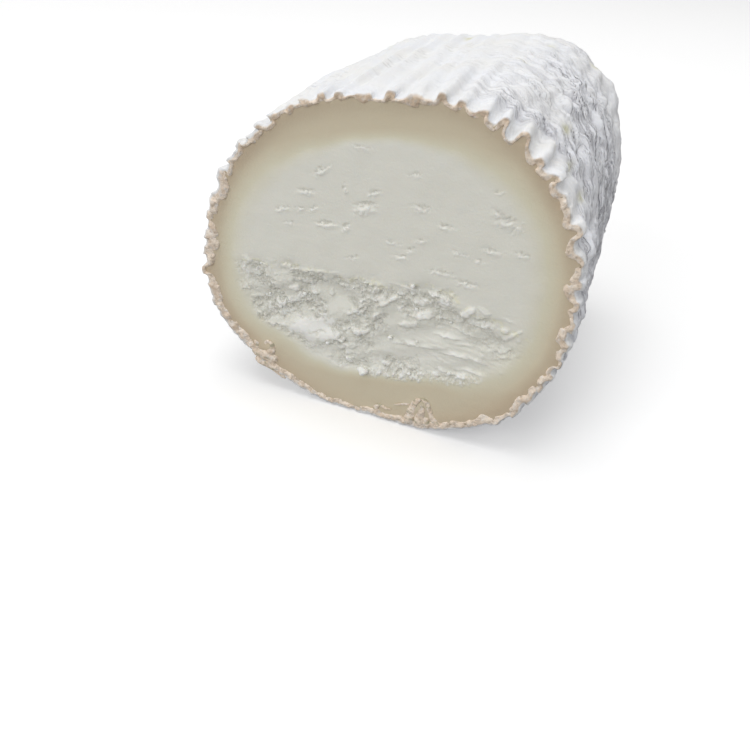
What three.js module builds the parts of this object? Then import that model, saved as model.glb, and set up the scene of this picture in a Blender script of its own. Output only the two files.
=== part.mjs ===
// Goat cheese log with a fluted rind, one end cut square and the other end whole.
//
// Millimetres, +Z up. The log lies along Y with its cut face towards -Y, and it rests on the
// flat that its own weight has pressed along its underside. The origin is at the middle of
// its foot. Every form is worked out round the log's axis, where x = z = 0 and the cut rim is
// y = 0, and the finished skin is then moved into place.

import * as THREE from "three";

const TAU = 2 * Math.PI;
const RADIANS = Math.PI / 180;

// Driving sizes of the log
const LENGTH = 92;
const AXIS_HEIGHT = 42.6;

// The slumped section: degrees anticlockwise from +X seen from the cut end, and radius
const SECTION = [
  [0, 47.8],
  [30, 48.7],
  [55, 47.8],
  [72, 45],
  [90, 41.6],
  [120, 42],
  [150, 43.8],
  [180, 46.6],
  [204, 49.8],
  [235, 45.5],
  [270, 43.5],
  [303, 46.3],
  [320, 48.4],
  [340, 47.8],
];
const MEAN_RADIUS = 45;

// Behind the cut the body is fuller at its four corners than at the rim
const CORNER_FULLNESS = 0.85;
const BODY_FULLNESS = 0.5;
const FULL_FROM = 30;

// Flutes pressed into the rind by the mould
const FLUTES = 57;
const FLUTE_DEPTH = 2.1;
const CREST_MIDDLE = 0.43;
const TWIST_PER_MM = 0.0016;
const DEPTH_ALONG = 0.64;
const RIM_REACH = 14;
const DEEP_FOLDS = { angle: 52 * RADIANS, spread: 13 * RADIANS, extra: 0.6 };
const WIDE_FLUTE = { angle: 77 * RADIANS, spread: 0.13, stretch: 0.4 };
const PRESSED_FLAT = { from: 205 * RADIANS, to: 312 * RADIANS, fade: 14 * RADIANS };
const ANGLE_ROUNDS = 20;

// Unevenness as waves: cycles round the log, radians for each mm along it, start and size
const STRAY_WAVES = [
  { around: 5, along: 0.012, start: 1.3, size: 0.3 },
  { around: 11, along: -0.02, start: 4.2, size: 0.12 },
  { around: 23, along: 0.03, start: 2.1, size: 0.05 },
];
const SHARPNESS_WAVES = [{ around: 7, along: 0.02, start: 0.4, size: 0.45 }];
const DEPTH_WAVES = [
  { around: 13, along: 0.04, start: 2, size: 0.2 },
  { around: 27, along: -0.05, start: 4.1, size: 0.16 },
];
const SWELL_WAVES = [
  { around: 1, along: -0.03, start: 0.8, size: 0.22 },
  { around: 5, along: 0.15, start: 0.8, size: -0.22 },
];

// The whole end: a rounded shoulder and a slightly domed cap
const SHOULDER_RADIUS = 11.5;
const DOME = 1.6;
const SHOULDER_START = LENGTH - DOME - SHOULDER_RADIUS;

// The cut face: rind lip, soft ripened border and chalky middle
const RIND_THICKNESS = 1.3;
const BORDER_DEPTH = 0.7;
const CORE = { x: 0.8, z: 1.5, halfWidth: 37.5, halfHeight: 31 };
const CORE_DEPTH = 0.6;
const TEAR_DEPTH = 1.2;
const TEAR_EDGE = 1.2;
const CORE_EDGE = { from: 1.03, to: 0.95 };
const LEAST_DEPTH = 0.05;
// Ripples of the torn part: radians for each mm across and up, start and size
const RIPPLES = [
  { acrossX: 0.5, upZ: 0.32, start: 1, size: 0.35 },
  { acrossX: -0.45, upZ: 0.9, start: 0, size: 0.25 },
];
const TEAR_LINE = [
  [-38, -4],
  [-19, -2],
  [-6, -2.6],
  [7, -1],
  [17, 0.4],
  [27, -4],
  [38, -6],
];
// Humps and hollows of the torn part: place, reach each way and height, hollows below zero
const CRAGS = [
  { x: -14, z: -6.8, alongX: 5, alongZ: 2.6, height: -1.9 },
  { x: -27, z: -8, alongX: 5, alongZ: 3, height: 1.1 },
  { x: -12, z: -12.5, alongX: 6, alongZ: 2.4, height: 0.9 },
  { x: 3, z: -7, alongX: 4, alongZ: 5, height: 1.1 },
  { x: 21, z: -2.6, alongX: 6, alongZ: 1.8, height: 1.7 },
  { x: 12, z: -9, alongX: 5, alongZ: 2, height: 0.8 },
  { x: 20, z: -15, alongX: 9, alongZ: 2.2, height: 0.7 },
  { x: 27, z: -11, alongX: 7, alongZ: 3, height: -0.8 },
  { x: -4, z: -20, alongX: 3, alongZ: 7, height: 0.8 },
];
// Places where the rind has folded into the paste at the foot of the cut face
const RIND_FOLDS = [
  { x: -29.7, z: -30, alongX: 2.6, alongZ: 2.6, height: 0.6 },
  { x: 14.7, z: -36, alongX: 3, alongZ: 2.6, height: 0.6 },
];

// How finely the skin is divided
const SAMPLES_PER_FLUTE = 5;
const COLUMNS = FLUTES * SAMPLES_PER_FLUTE;
const SIDE_BANDS = 7;
const FACE_SPACING = 2.75;
const SHOULDER_RINGS = [
  { bend: 22, samplesPerFlute: 5 },
  { bend: 44, samplesPerFlute: 4 },
  { bend: 66, samplesPerFlute: 2 },
  { bend: 90, samplesPerFlute: 2 },
];
const CAP_RINGS = [
  { reach: 0.75, columns: 76 },
  { reach: 0.45, columns: 38 },
  { reach: 0.18, columns: 14 },
];

const rindColour = 0xeeedec;

function smoothStep(from, to, value) {
  const share = Math.min(1, Math.max(0, (value - from) / (to - from)));
  return share * share * (3 - 2 * share);
}

function bell(distance, spread) {
  return Math.exp(-((distance / spread) ** 2));
}

// The angle from one direction to another, between minus and plus half a turn
function angleBetween(from, to) {
  const turned = (((to - from) % TAU) + TAU + Math.PI) % TAU;
  return turned - Math.PI;
}

// A smooth curve through [place, value] points, by cubic pieces with the slopes of their neighbours
function curveThrough(points, place) {
  const last = points.length - 1;
  let left = 0;
  while (left < last - 1 && place > points[left + 1][0]) {
    left += 1;
  }
  const slopeAt = (index) => {
    const before = points[Math.max(0, index - 1)];
    const after = points[Math.min(last, index + 1)];
    return (after[1] - before[1]) / (after[0] - before[0]);
  };
  const [start, startValue] = points[left];
  const [end, endValue] = points[left + 1];
  const span = end - start;
  const share = (place - start) / span;
  const rise = share * share * (3 - 2 * share);
  const leaving = share * (1 - share) ** 2 * span * slopeAt(left);
  const arriving = share * share * (share - 1) * span * slopeAt(left + 1);
  return startValue + (endValue - startValue) * rise + leaving + arriving;
}

// The section's points again a turn before and a turn after, so that the curve closes on itself
const AROUND = [-360, 0, 360].flatMap((turn) => SECTION.map(([angle, radius]) => [angle + turn, radius]));

function sectionRadius(angle) {
  const degrees = (((angle / RADIANS) % 360) + 360) % 360;
  return curveThrough(AROUND, degrees);
}

function sum(values) {
  return values.reduce((total, value) => total + value, 0);
}

function waves(list, angle, y) {
  return sum(list.map((wave) => {
    return wave.size * Math.sin(wave.around * angle + wave.along * y + wave.start);
  }));
}

function humps(list, x, z) {
  return sum(list.map((hump) => {
    return hump.height * bell(x - hump.x, hump.alongX) * bell(z - hump.z, hump.alongZ);
  }));
}

// How far the flutes stray from even spacing, in flutes
function stray(angle, y) {
  const away = angleBetween(WIDE_FLUTE.angle, angle) / WIDE_FLUTE.spread;
  return waves(STRAY_WAVES, angle, y) - WIDE_FLUTE.stretch * away * bell(away, 1);
}

// The angle of a place on the skin that is counted in flutes from +X, at y along the log
function angleOfFlute(flute, y) {
  const even = (flute / FLUTES) * TAU + TWIST_PER_MM * y;
  let angle = even;
  for (let round = 0; round < ANGLE_ROUNDS; round += 1) {
    angle = even - (stray(angle, y) / FLUTES) * TAU;
  }
  return angle;
}

// 1 where the flutes stand free and 0 along the pressed underside
function fluteShare(angle) {
  const middle = (PRESSED_FLAT.from + PRESSED_FLAT.to) / 2;
  const half = (PRESSED_FLAT.to - PRESSED_FLAT.from) / 2;
  const away = Math.abs(angleBetween(middle, angle));
  return smoothStep(half - PRESSED_FLAT.fade, half + PRESSED_FLAT.fade, away);
}

// Height of the fluted skin over the plain section
function fluteHeight(flute, angle, y) {
  const sharpness = 1 + waves(SHARPNESS_WAVES, angle, y);
  const crest = (0.5 + 0.5 * Math.cos(TAU * flute)) ** sharpness;
  const uneven = 1 + waves(DEPTH_WAVES, angle, y);
  const deeper = 1 + DEEP_FOLDS.extra * bell(angleBetween(DEEP_FOLDS.angle, angle), DEEP_FOLDS.spread);
  const along = DEPTH_ALONG + (1 - DEPTH_ALONG) * Math.exp(-y / RIM_REACH);
  return FLUTE_DEPTH * uneven * deeper * along * fluteShare(angle) * (crest - CREST_MIDDLE);
}

// A point of the skin: the inset narrows it over the shoulder, where the flutes fade out
function skinPoint(flute, y, inset, fluteFade) {
  const angle = angleOfFlute(flute, y);
  const relief = fluteHeight(flute, angle, y) + waves(SWELL_WAVES, angle, y) * fluteShare(angle);
  const fuller = BODY_FULLNESS - CORNER_FULLNESS * Math.cos(4 * angle);
  const belly = fuller * smoothStep(0, FULL_FROM, y);
  const radius = sectionRadius(angle) + belly - inset + relief * fluteFade;
  const foot = -AXIS_HEIGHT + inset;
  return new THREE.Vector3(radius * Math.cos(angle), y, Math.max(foot, radius * Math.sin(angle)));
}

// Depth of the cut face below its rim
function faceDepth(x, z) {
  const outward = Math.hypot((x - CORE.x) / CORE.halfWidth, (z - CORE.z) / CORE.halfHeight);
  const inCore = smoothStep(CORE_EDGE.from, CORE_EDGE.to, outward);
  const torn = inCore * smoothStep(TEAR_EDGE, -TEAR_EDGE, z - curveThrough(TEAR_LINE, x));
  const ripple = sum(RIPPLES.map((wave) => {
    return wave.size * Math.sin(wave.acrossX * x + wave.upZ * z + wave.start);
  }));
  const smooth = BORDER_DEPTH + (CORE_DEPTH - BORDER_DEPTH) * inCore - humps(RIND_FOLDS, x, z);
  return Math.max(LEAST_DEPTH, smooth + torn * (TEAR_DEPTH + ripple - humps(CRAGS, x, z)));
}

// A point of the cut face, a share of the way from the axis to the rim
function facePoint(flute, share) {
  const rim = skinPoint(flute, 0, 0, 1);
  const x = rim.x * share;
  const z = rim.z * share;
  return new THREE.Vector3(x, faceDepth(x, z), z);
}

function lipPoint(flute) {
  const rim = skinPoint(flute, 0, 0, 1);
  const share = 1 - RIND_THICKNESS / MEAN_RADIUS;
  return new THREE.Vector3(rim.x * share, 0, rim.z * share);
}

// The plain end, where no flutes show: share runs from the middle to the shoulder's edge
function capPoint(flute, share) {
  const edge = skinPoint(flute, LENGTH - DOME, SHOULDER_RADIUS, 0);
  return new THREE.Vector3(edge.x * share, LENGTH - DOME * share * share, edge.z * share);
}

// A ring of points round the axis, half a step off the crests so that these come out broad
function ring(columns, pointAt) {
  const points = [];
  for (let column = 0; column < columns; column += 1) {
    const turn = (column + 0.5) / columns;
    points.push({ turn, point: pointAt(turn * FLUTES) });
  }
  return points;
}

function faceRings() {
  const rings = [];
  const steps = Math.round(MEAN_RADIUS / FACE_SPACING);
  for (let step = 1; step < steps; step += 1) {
    const share = step / steps;
    const columns = Math.max(6, Math.round((TAU * MEAN_RADIUS * share) / FACE_SPACING));
    rings.push(ring(columns, (flute) => facePoint(flute, share)));
  }
  const justInside = 1 - (RIND_THICKNESS + 0.9) / MEAN_RADIUS;
  rings.push(ring(Math.ceil(COLUMNS / 2), (flute) => facePoint(flute, justInside)));
  rings.push(ring(COLUMNS, lipPoint));
  return rings;
}

function sideRings() {
  const rings = [];
  for (let band = 0; band <= SIDE_BANDS; band += 1) {
    const y = (SHOULDER_START * band) / SIDE_BANDS;
    rings.push(ring(COLUMNS, (flute) => skinPoint(flute, y, 0, 1)));
  }
  return rings;
}

function shoulderRings() {
  return SHOULDER_RINGS.map(({ bend, samplesPerFlute }) => {
    const turned = bend * RADIANS;
    const y = SHOULDER_START + SHOULDER_RADIUS * Math.sin(turned);
    const inset = SHOULDER_RADIUS * (1 - Math.cos(turned));
    return ring(FLUTES * samplesPerFlute, (flute) => skinPoint(flute, y, inset, Math.cos(turned)));
  });
}

function capRings() {
  return CAP_RINGS.map(({ reach, columns }) => ring(columns, (flute) => capPoint(flute, reach)));
}

// Triangles between two neighbouring rings, which may have different numbers of points
function stitch(before, after, triangles) {
  let i = 0;
  let j = 0;
  const turnAt = (points, index) => points[index % points.length].turn + Math.floor(index / points.length);
  while (i < before.length || j < after.length) {
    const a = before[i % before.length].index;
    const b = after[j % after.length].index;
    const stepsBefore = j === after.length
      || (i < before.length && turnAt(before, i + 1) <= turnAt(after, j + 1));
    if (stepsBefore) {
      i += 1;
      triangles.push(before[i % before.length].index, a, b);
    } else {
      j += 1;
      triangles.push(a, b, after[j % after.length].index);
    }
  }
}

function skinGeometry() {
  const rings = [...faceRings(), ...sideRings(), ...shoulderRings(), ...capRings()];
  const points = [new THREE.Vector3(0, faceDepth(0, 0), 0)];
  rings.flat().forEach((place) => {
    place.index = points.length;
    points.push(place.point);
  });
  points.push(new THREE.Vector3(0, LENGTH, 0));

  const triangles = [];
  const first = rings[0];
  first.forEach((place, column) => {
    triangles.push(0, place.index, first[(column + 1) % first.length].index);
  });
  for (let index = 1; index < rings.length; index += 1) {
    stitch(rings[index - 1], rings[index], triangles);
  }
  const last = rings[rings.length - 1];
  last.forEach((place, column) => {
    triangles.push(points.length - 1, last[(column + 1) % last.length].index, place.index);
  });

  const geometry = new THREE.BufferGeometry().setFromPoints(points);
  geometry.setIndex(triangles);
  geometry.translate(0, -LENGTH / 2, AXIS_HEIGHT);
  geometry.computeVertexNormals();
  return geometry;
}

const cheese = new THREE.Mesh(
  skinGeometry(),
  new THREE.MeshStandardMaterial({ color: rindColour, roughness: 0.8, metalness: 0 }),
);
cheese.name = "cheese_log";

const log = new THREE.Group();
log.add(cheese);

export default log;
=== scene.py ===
"""Goat cheese log: its paste, its rind with the folds of the cut rim, and a few crumbs.

Lengths are in millimetres and in the log's own frame: the axis is x = z = 0, the cut rim is
y = 0 and the whole end is towards +y. Angles run anticlockwise from +x as seen from the cut
end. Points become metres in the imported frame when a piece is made. The plain forms are those
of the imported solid, and the finer relief is added to them here.
"""

import math
import random
from types import SimpleNamespace

import bpy
import numpy as np
from mathutils import Matrix, Vector, noise


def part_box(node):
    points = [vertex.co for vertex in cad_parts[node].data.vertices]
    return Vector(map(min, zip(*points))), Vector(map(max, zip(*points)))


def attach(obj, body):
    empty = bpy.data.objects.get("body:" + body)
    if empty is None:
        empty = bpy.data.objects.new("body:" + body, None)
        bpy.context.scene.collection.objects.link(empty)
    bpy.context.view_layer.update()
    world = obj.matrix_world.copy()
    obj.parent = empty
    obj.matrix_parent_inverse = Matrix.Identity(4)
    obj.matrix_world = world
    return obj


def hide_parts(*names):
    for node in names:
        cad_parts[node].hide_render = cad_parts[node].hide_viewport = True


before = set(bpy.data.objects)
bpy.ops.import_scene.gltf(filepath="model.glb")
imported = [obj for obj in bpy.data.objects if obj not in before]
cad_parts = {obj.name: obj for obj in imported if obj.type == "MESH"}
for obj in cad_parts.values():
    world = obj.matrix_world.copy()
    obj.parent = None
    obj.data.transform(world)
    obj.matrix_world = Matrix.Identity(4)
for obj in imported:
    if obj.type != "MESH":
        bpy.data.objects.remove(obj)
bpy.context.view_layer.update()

TAU = 2 * math.pi
MILLIMETRE = 0.001
NODE = "cheese_log"
BODY = "root"

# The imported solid's place, and the height of the log's axis over its foot
FOOT, TOP = (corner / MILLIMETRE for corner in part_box(NODE))
LENGTH = TOP.y - FOOT.y
AXIS_HEIGHT = 42.6
ORIGIN = np.array([0.0, FOOT.y, FOOT.z + AXIS_HEIGHT])

# The slumped section of the cut: degrees and radius
SECTION = [
    (0, 47.8), (30, 48.7), (55, 47.8), (72, 45), (90, 41.6), (120, 42), (150, 43.8),
    (180, 46.6), (204, 49.8), (235, 45.5), (270, 43.5), (303, 46.3), (320, 48.4), (340, 47.8),
]
MEAN_RADIUS = 45
# How much fuller the section is behind the cut, all round and at its four corners
BODY_FULLNESS = 0.5
CORNER_FULLNESS = 0.85
FULL_FROM = 30

# Flutes pressed into the rind
FLUTES = 57
FLUTE_DEPTH = 2.1
CREST_MIDDLE = 0.43
TWIST_PER_MM = 0.0016
DEPTH_ALONG = 0.64
RIM_REACH = 14
DEEP_FOLDS = {"degrees": 52, "spread": 13, "extra": 0.6}
# Where flutes are wide: the angle, how far round it reaches, and by how much
WIDE_FLUTES = [(math.radians(77), 0.13, 0.4), (math.radians(49), 0.18, 0.35)]
PRESSED_FROM = math.radians(205)
PRESSED_TO = math.radians(312)
PRESSED_FADE = math.radians(14)
ANGLE_ROUNDS = 20

# Unevenness as waves: cycles round the log, radians for each mm along it, start and size
STRAY_WAVES = [(5, 0.012, 1.3, 0.3), (11, -0.02, 4.2, 0.12), (23, 0.03, 2.1, 0.05)]
SHARPNESS_WAVES = [(7, 0.02, 0.4, 0.45)]
DEPTH_WAVES = [(13, 0.04, 2, 0.2), (27, -0.05, 4.1, 0.16)]
SWELL_WAVES = [(1, -0.03, 0.8, 0.22), (5, 0.15, 0.8, -0.22)]

# The whole end
SHOULDER_RADIUS = 11.5
DOME = 1.6
SHOULDER_START = LENGTH - DOME - SHOULDER_RADIUS

# The cut face
RIND_THICKNESS = 1.35
# The cut rind's thickness round the rim: degrees and mm
LIP_AROUND = [
    (0, 2.2), (30, 2.4), (45, 1.7), (85, 0.95), (118, 0.95), (140, 1.5), (160, 2.2),
    (180, 2.7), (205, 3.1), (235, 2.6), (255, 2.4), (275, 2.4), (300, 2.7), (330, 2.3),
]
# The flutes' height at the rim, as a share: degrees and share, then the share behind the rim
RUFFLE_AROUND = [
    (0, 0.46), (30, 0.54), (50, 0.68), (75, 0.6), (105, 0.6), (130, 0.56), (165, 0.5),
    (200, 0.4), (250, 0.6), (305, 0.45), (335, 0.42),
]
RUFFLE_BEHIND = 0.85
RUFFLE_REACH = 12
# How much thicker the cut rind is in the arches of its upper rim
ARCH_FILL = 1.5
# How tan the cut rind is round the rim, from 0 to 1
TAN_AROUND = [
    (0, 0.25), (40, 0.3), (65, 0.45), (95, 0.6), (122, 0.4), (145, 0.2), (175, 0.25),
    (200, 0.25), (230, 0.2), (270, 0.3), (310, 0.2), (340, 0.2),
]
# Where the cut rind's outer edge stays white: degrees, spread, and how much
WHITE_EDGES = [(0, 60, 0.08), (143, 18, 0.3), (260, 40, 0.25)]
# Where the rim lies lower than the section
LOW_RIM = {"degrees": 47, "spread": 15, "drop": 1.0}
# How far the folds of the rim curl to both sides and lean to one, in mm
CURL = 0.28
LEAN = 2.2
# How steeply a brushed crease runs back towards the whole end as it climbs, and where most steeply
CREASE_SLANT = 0.5
CREASE_TURN = math.radians(35)
# Depths below the rim: the creamy border, the pale middle, and what a knife has torn out of it
BORDER_DEPTH = 0.7
CORE_DEPTH = 0.6
TEAR_DEPTH = 1.2
TEAR_SHARE = 0.6
CORE_X, CORE_Z = 0.8, 1.5
# How far the pale middle reaches from its centre: degrees and mm
CORE_AROUND = [
    (0, 39.2), (25, 39.4), (45, 37.4), (60, 35), (80, 32), (105, 30.5), (125, 31),
    (145, 33.5), (165, 36.8), (195, 41), (211, 41), (226, 36), (240, 35), (255, 32.6),
    (275, 29.9), (288, 30), (302, 31.4), (315, 35.4), (335, 39.2),
]
# The upper edge of the torn part, as x and z, and where it falls short of the creamy border
TEAR_LINE = [(-38, -4), (-19, -2), (-6, -2.6), (7, -1), (17, 0.4), (27, -4), (38, -6)]
TEAR_SHORT = {"degrees": -108, "spread": 18, "share": 0.04}
# The part of the tear that a knife has drawn into streaks
STREAKS = {"x": 22, "z": -16, "slant": -6, "length": 15, "width": 9}
# Ripples: radians for each mm across and up, start and size
RIPPLES = [(0.5, 0.32, 1, 0.35), (-0.45, 0.9, 0, 0.25)]
# Humps and hollows of the torn part: x, z, reach each way and height
CRAGS = [
    (-12.5, -6.8, 5, 2.6, -2.6),
    (-18, -12, 10, 4, -1.0),
    (-27, -8, 5, 3, 1.1),
    (-18, -21, 9, 2.6, 1.7),
    (3, -7, 4, 5, 1.1),
    (21, -2.6, 6, 1.8, 1.7),
    (12, -9, 5, 2, 0.8),
    (20, -15, 9, 2.2, 0.7),
    (27, -11, 7, 3, -0.8),
    (-4, -20, 3, 7, 0.8),
]
# Where the rind has folded into the paste: x, z, reach each way and height
RIND_FOLDS = [(-29.7, -30, 2.6, 2.6, 0.6), (14.7, -36, 3, 2.6, 0.6)]

# Small dents of the smooth part: x, z, length, width, slant in degrees and depth
DENTS = [
    (-13.6, 23.5, 3.4, 0.7, 28, 0.5),
    (8.3, 26.2, 3.0, 0.5, 4, 0.3),
    (-17.6, 17.8, 3.2, 0.9, 2, 0.5),
    (-7.9, 20.3, 1.2, 0.9, 60, 0.5),
    (-0.7, 20.7, 2.2, 0.7, 12, 0.4),
    (-23.8, 12.4, 2.4, 0.7, 8, 0.4),
    (-19.2, 13.3, 1.6, 0.6, -6, 0.4),
    (-15.8, 14.0, 1.8, 0.6, 20, 0.4),
    (-2.6, 17.0, 3.8, 1.5, 8, 0.7),
    (10.2, 19.2, 3.4, 0.8, -4, 0.4),
    (-22.0, 9.1, 2.6, 0.6, 5, 0.3),
    (-12.5, 10.9, 4.4, 0.8, 6, 0.5),
    (-7.4, 11.1, 2.2, 1.0, 30, 0.4),
    (16.4, 16.2, 2.6, 0.7, -8, 0.4),
    (4.1, 9.7, 2.4, 0.5, -10, 0.4),
    (8.7, 8.9, 2.0, 0.6, 12, 0.3),
    (6.5, 6.6, 2.6, 0.7, 0, 0.4),
    (16.3, 4.9, 5.2, 0.6, -3, 0.4),
    (29.2, 20.0, 3.6, 1.2, 5, 0.5),
    (27.2, 21.4, 2.2, 0.8, -30, 0.4),
    (31.4, 18.6, 2.0, 0.8, 50, 0.4),
    (26.6, 25.9, 1.8, 0.6, 20, 0.3),
    (27.3, 12.7, 3.2, 0.7, -4, 0.5),
    (34.0, 13.4, 2.4, 0.6, -15, 0.4),
    (24.6, 9.8, 2.2, 0.6, -8, 0.3),
    (20.2, 10.7, 3.0, 0.5, -12, 0.3),
    (22.8, 3.6, 4.2, 0.9, -8, 0.4),
    (11.0, 11.7, 2.0, 0.6, 10, 0.3),
    (-5.8, 3.5, 2.2, 0.6, 8, 0.3),
    (-4.4, 30.2, 3.6, 0.5, -6, 0.3),
]

# White lumps that stand out of the torn part: x, z, half length, half width, slant and height
LUMPS = [
    (-34.7, -3.2, 1.4, 0.8, -9, 0.4),
    (-33.1, -14.3, 2.0, 0.9, -2, 0.4),
    (-33.1, -17.0, 1.6, 0.7, 22, 0.4),
    (-24.8, -14.5, 2.0, 1.1, -11, 0.8),
    (-23.1, -3.0, 1.7, 0.8, -8, 0.5),
    (-21.3, -9.0, 1.7, 0.9, 6, 0.8),
    (-18.1, -6.2, 2.0, 1.0, 1, 0.9),
    (-17.0, -12.2, 2.2, 0.9, -12, 0.7),
    (-11.7, -8.0, 0.9, 0.8, -27, 0.8),
    (-5.2, -21.7, 2.2, 0.8, 17, 0.5),
    (-4.6, -11.0, 3.2, 0.6, 44, 0.6),
    (-4.3, -16.7, 2.0, 0.9, -25, 0.7),
    (0.4, -3.8, 1.7, 0.8, 21, 0.6),
    (0.6, -11.6, 2.2, 0.9, 52, 0.9),
    (3.8, -6.2, 3.2, 0.6, 41, 0.7),
    (8.1, -7.5, 1.7, 0.7, 3, 0.5),
    (9.8, -11.0, 2.8, 0.9, 16, 0.8),
    (14.2, -6.9, 2.8, 1.0, 30, 0.7),
    (17.0, -1.8, 3.0, 1.1, -2, 1.0),
    (24.0, -3.6, 2.9, 0.9, 50, 1.1),
    (27.4, -2.1, 1.9, 0.7, -25, 0.8),
    (33.1, -6.3, 1.0, 0.8, 0, 0.7),
    (35.1, -7.0, 3.2, 0.5, 45, 0.5),
]

# Strokes that a knife has raised on the torn part: x, z, length, width, slant in degrees and height
STROKES = [
    (-15.5, -2.2, 10.0, 0.6, 8, 0.3),
    (9.3, -0.9, 7.0, 0.6, -7, 0.25),
    (11.6, -4.3, 6.0, 0.9, 5, 0.35),
    (33.7, -3.0, 4.1, 0.6, -5, 0.3),
    (28.9, -6.3, 3.2, 0.8, 3, 0.4),
    (21.5, -8.9, 6.0, 0.5, -7, 0.3),
    (24.8, -9.6, 4.5, 0.7, -11, 0.45),
    (20.4, -11.6, 5.0, 0.7, -2, 0.5),
    (29.2, -11.3, 3.0, 0.5, -18, 0.3),
    (24.0, -12.8, 3.7, 0.6, 3, 0.35),
    (28.4, -13.0, 2.4, 0.5, -6, 0.25),
    (33.7, -13.6, 1.8, 0.6, 12, 0.35),
    (13.0, -16.0, 12.0, 0.8, 9, 0.4),
    (22.4, -16.0, 5.4, 0.9, 0, 0.6),
    (27.4, -16.2, 4.8, 0.6, -9, 0.4),
    (34.5, -17.6, 1.5, 0.5, 11, 0.3),
    (18.0, -18.3, 4.2, 0.5, -17, 0.25),
    (26.4, -20.0, 5.4, 0.6, 2, 0.4),
    (19.5, -21.6, 3.7, 0.6, -6, 0.35),
    (23.7, -22.0, 4.3, 0.6, -7, 0.35),
    (20.4, -24.4, 3.6, 0.6, 2, 0.3),
]

# Smooth smears in the torn part: x, z, half length, half width, slant and whiteness
SMEARS = [
    (-16.8, -18.9, 8.0, 2.3, 16, 1.0),
    (-14.2, -21.2, 4.8, 1.5, 16, 0.9),
    (-8.2, -10.5, 3.6, 2.2, 45, 0.1),
    (5.4, -9.5, 1.8, 4.6, 0, 0.0),
    (12.5, -14.0, 6.0, 1.8, 10, 0.1),
    (12.0, -18.4, 9.0, 2.2, 5, 0.2),
]

# The rind folded into the paste at the foot of the cut: points as x, z and half width
FOLDS = [
    [(-34.4, -34.0, 1.2), (-31.6, -34.8, 1.2), (-28.8, -35.5, 1.2), (-26.4, -37.0, 1.0), (-24.4, -38.4, 0.8)],
    [(-35.2, -31.8, 1.1), (-32.8, -31.9, 1.5), (-30.4, -31.8, 1.7), (-28.2, -32.3, 1.4), (-26.9, -33.0, 0.9)],
    [
        (-29.8, -31.6, 1.5), (-28.7, -29.9, 1.2), (-28.5, -28.4, 0.8),
        (-29.3, -27.4, 0.6), (-30.4, -27.7, 0.5), (-30.4, -28.8, 0.4),
    ],
    [(-34.2, -31.0, 1.0), (-33.2, -29.4, 0.8), (-34.0, -27.8, 0.7)],
    [
        (15.0, -32.0, 0.5), (16.6, -32.9, 0.6), (17.6, -34.9, 0.7),
        (18.4, -37.0, 0.7), (19.8, -38.6, 1.0), (21.8, -39.8, 1.0),
    ],
    [(12.0, -41.8, 1.6), (12.5, -39.0, 1.4), (13.0, -36.2, 1.1), (13.9, -33.6, 0.8), (15.2, -32.3, 0.5)],
    [(15.4, -41.2, 1.6), (15.2, -38.8, 1.4), (15.6, -36.6, 1.1), (15.8, -35.0, 0.8), (14.9, -34.2, 0.6)],
    [(17.4, -41.0, 1.4), (17.2, -39.0, 1.1), (16.9, -37.2, 0.7)],
    [(7.6, -36.6, 0.25), (10.2, -35.7, 0.35), (12.6, -34.9, 0.3)],
    [(2.4, -41.0, 0.9), (2.9, -39.0, 0.7), (3.9, -38.2, 0.45), (5.6, -38.7, 0.35), (7.4, -38.4, 0.3)],
    [(8.0, -41.6, 0.9), (9.6, -40.4, 0.8), (11.2, -40.6, 0.7)],
]
FOLD_HEIGHT = 0.6
FOLD_DEPTH = 0.5
FOLD_STEPS = 10
FOLD_SIDES = 12

# Loose crumbs on the torn part: x, z and reach of the large one, then how many small ones are
# tried, and their ranges of x, z and reach
LARGE_CRUMB = (-1.4, -28.4, 1.35)
SMALL_CRUMBS = 26
CRUMB_X = (-34, 34)
CRUMB_Z = (-27, 0)
CRUMB_REACH = (0.25, 0.6)
CRUMB_SHAPE = (1.1, 0.75, 0.9)
CRUMB_SEEDS = 50
CRUMB_SIDES = 10

# Small olive marks on the rind: degrees, y, reach round and along
STAINS = [
    (62.5, 68.2, 1.3, 1.6),
    (66.1, 43.9, 1.6, 0.9),
    (47.1, 78.6, 1.6, 1.8),
    (92.6, 73.7, 1.2, 2.6),
    (44.9, 18.6, 0.9, 2.6),
    (38.6, 9.8, 0.8, 2.2),
    (31.0, 9.0, 0.9, 2.0),
    (120.0, 58.0, 1.0, 4.0),
]

# Numbers of points in a ring of the rind, and how far rings lie apart
RIM_COLUMNS = FLUTES * 15
SIDE_COLUMNS = FLUTES * 7
SHOULDER_COLUMNS = FLUTES * 6
INNER_COLUMNS = FLUTES * 2
RIM_BAND = 7.0
RIM_SPACING = 0.45
SIDE_SPACING = 0.58
SHOULDER_RINGS = 20
CAP_SPACING = 0.95
CAP_RADIUS = 36
LIP_RINGS = 8
LIP_HEIGHT = 0.75
INNER_FADE = 0.72
INNER_BENDS = (80, 55, 25)
INNER_RINGS = 6
INNER_END = 6
RIND_FRONT = 2.2
REACH_STEPS = 900
RIND_FIELDS = ("crevice_shade_and_streaks", "stain", "brushed", "hair", "cut", "tan")

# How finely the cut face is divided, and where the paste's hidden wall lies
FACE_SPACING = 0.28
WALL_INSET = 0.6
WALL_FADE = 0.3
WALL_FRONT = 3.0
EDGE_BLEND = 12

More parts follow.
